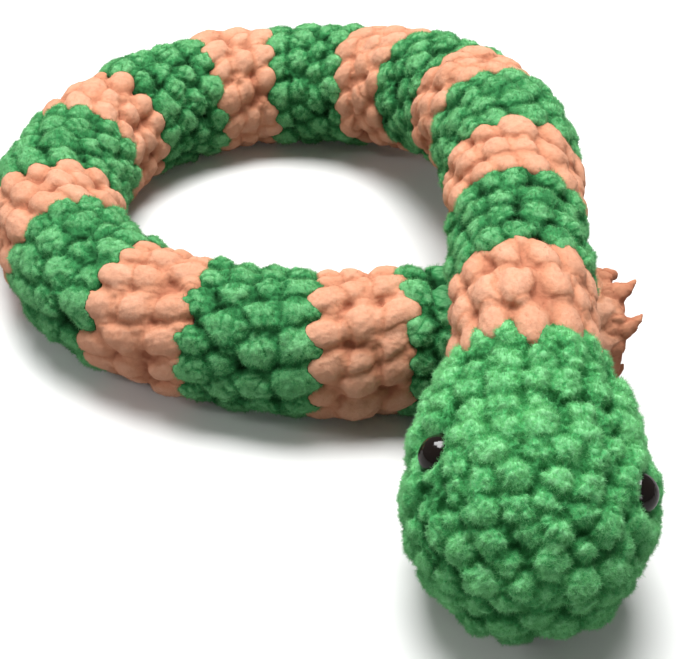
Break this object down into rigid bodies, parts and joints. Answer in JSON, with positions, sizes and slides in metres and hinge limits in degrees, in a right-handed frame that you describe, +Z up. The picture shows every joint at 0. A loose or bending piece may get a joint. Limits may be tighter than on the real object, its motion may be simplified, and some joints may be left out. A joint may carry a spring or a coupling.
{
  "type": "crochet snake toy",
  "caption": "Soft crocheted snake in green and peach bands, with a round head and two domed safety eyes, lying in a loop with its neck over its tail.",
  "frame": {"origin": "middle of the flat outline on the table top, under the toy", "axes": "+Z up from the table, -Y out through the nose, +X towards the open mouth of the tail"},
  "size_m": [0.2731, 0.3934, 0.099],
  "materials": {
    "green_yarn": "matte",
    "peach_yarn": "matte",
    "fibre_fill": "matte",
    "eye_plastic": "gloss",
    "washer_plastic": "matte"
  },
  "bodies": {
    "root": {"head_cover": "green_yarn", "head_stuffing": "fibre_fill", "eye_left": "eye_plastic", "eye_right": "eye_plastic", "eye_washer_left": "washer_plastic", "eye_washer_right": "washer_plastic", "body_stuffing": "fibre_fill", "tail_closing": "green_yarn", "peach_band_01": "peach_yarn", "peach_band_02": "peach_yarn", "peach_band_03": "peach_yarn", "peach_band_04": "peach_yarn", "peach_band_05": "peach_yarn", "peach_band_06": "peach_yarn", "peach_band_07": "peach_yarn", "peach_band_08": "peach_yarn", "peach_band_09": "peach_yarn", "peach_band_10": "peach_yarn", "green_band_01": "green_yarn", "green_band_02": "green_yarn", "green_band_03": "green_yarn", "green_band_04": "green_yarn", "green_band_05": "green_yarn", "green_band_06": "green_yarn", "green_band_07": "green_yarn", "green_band_08": "green_yarn", "green_band_09": "green_yarn"}
  },
  "joints": []
}
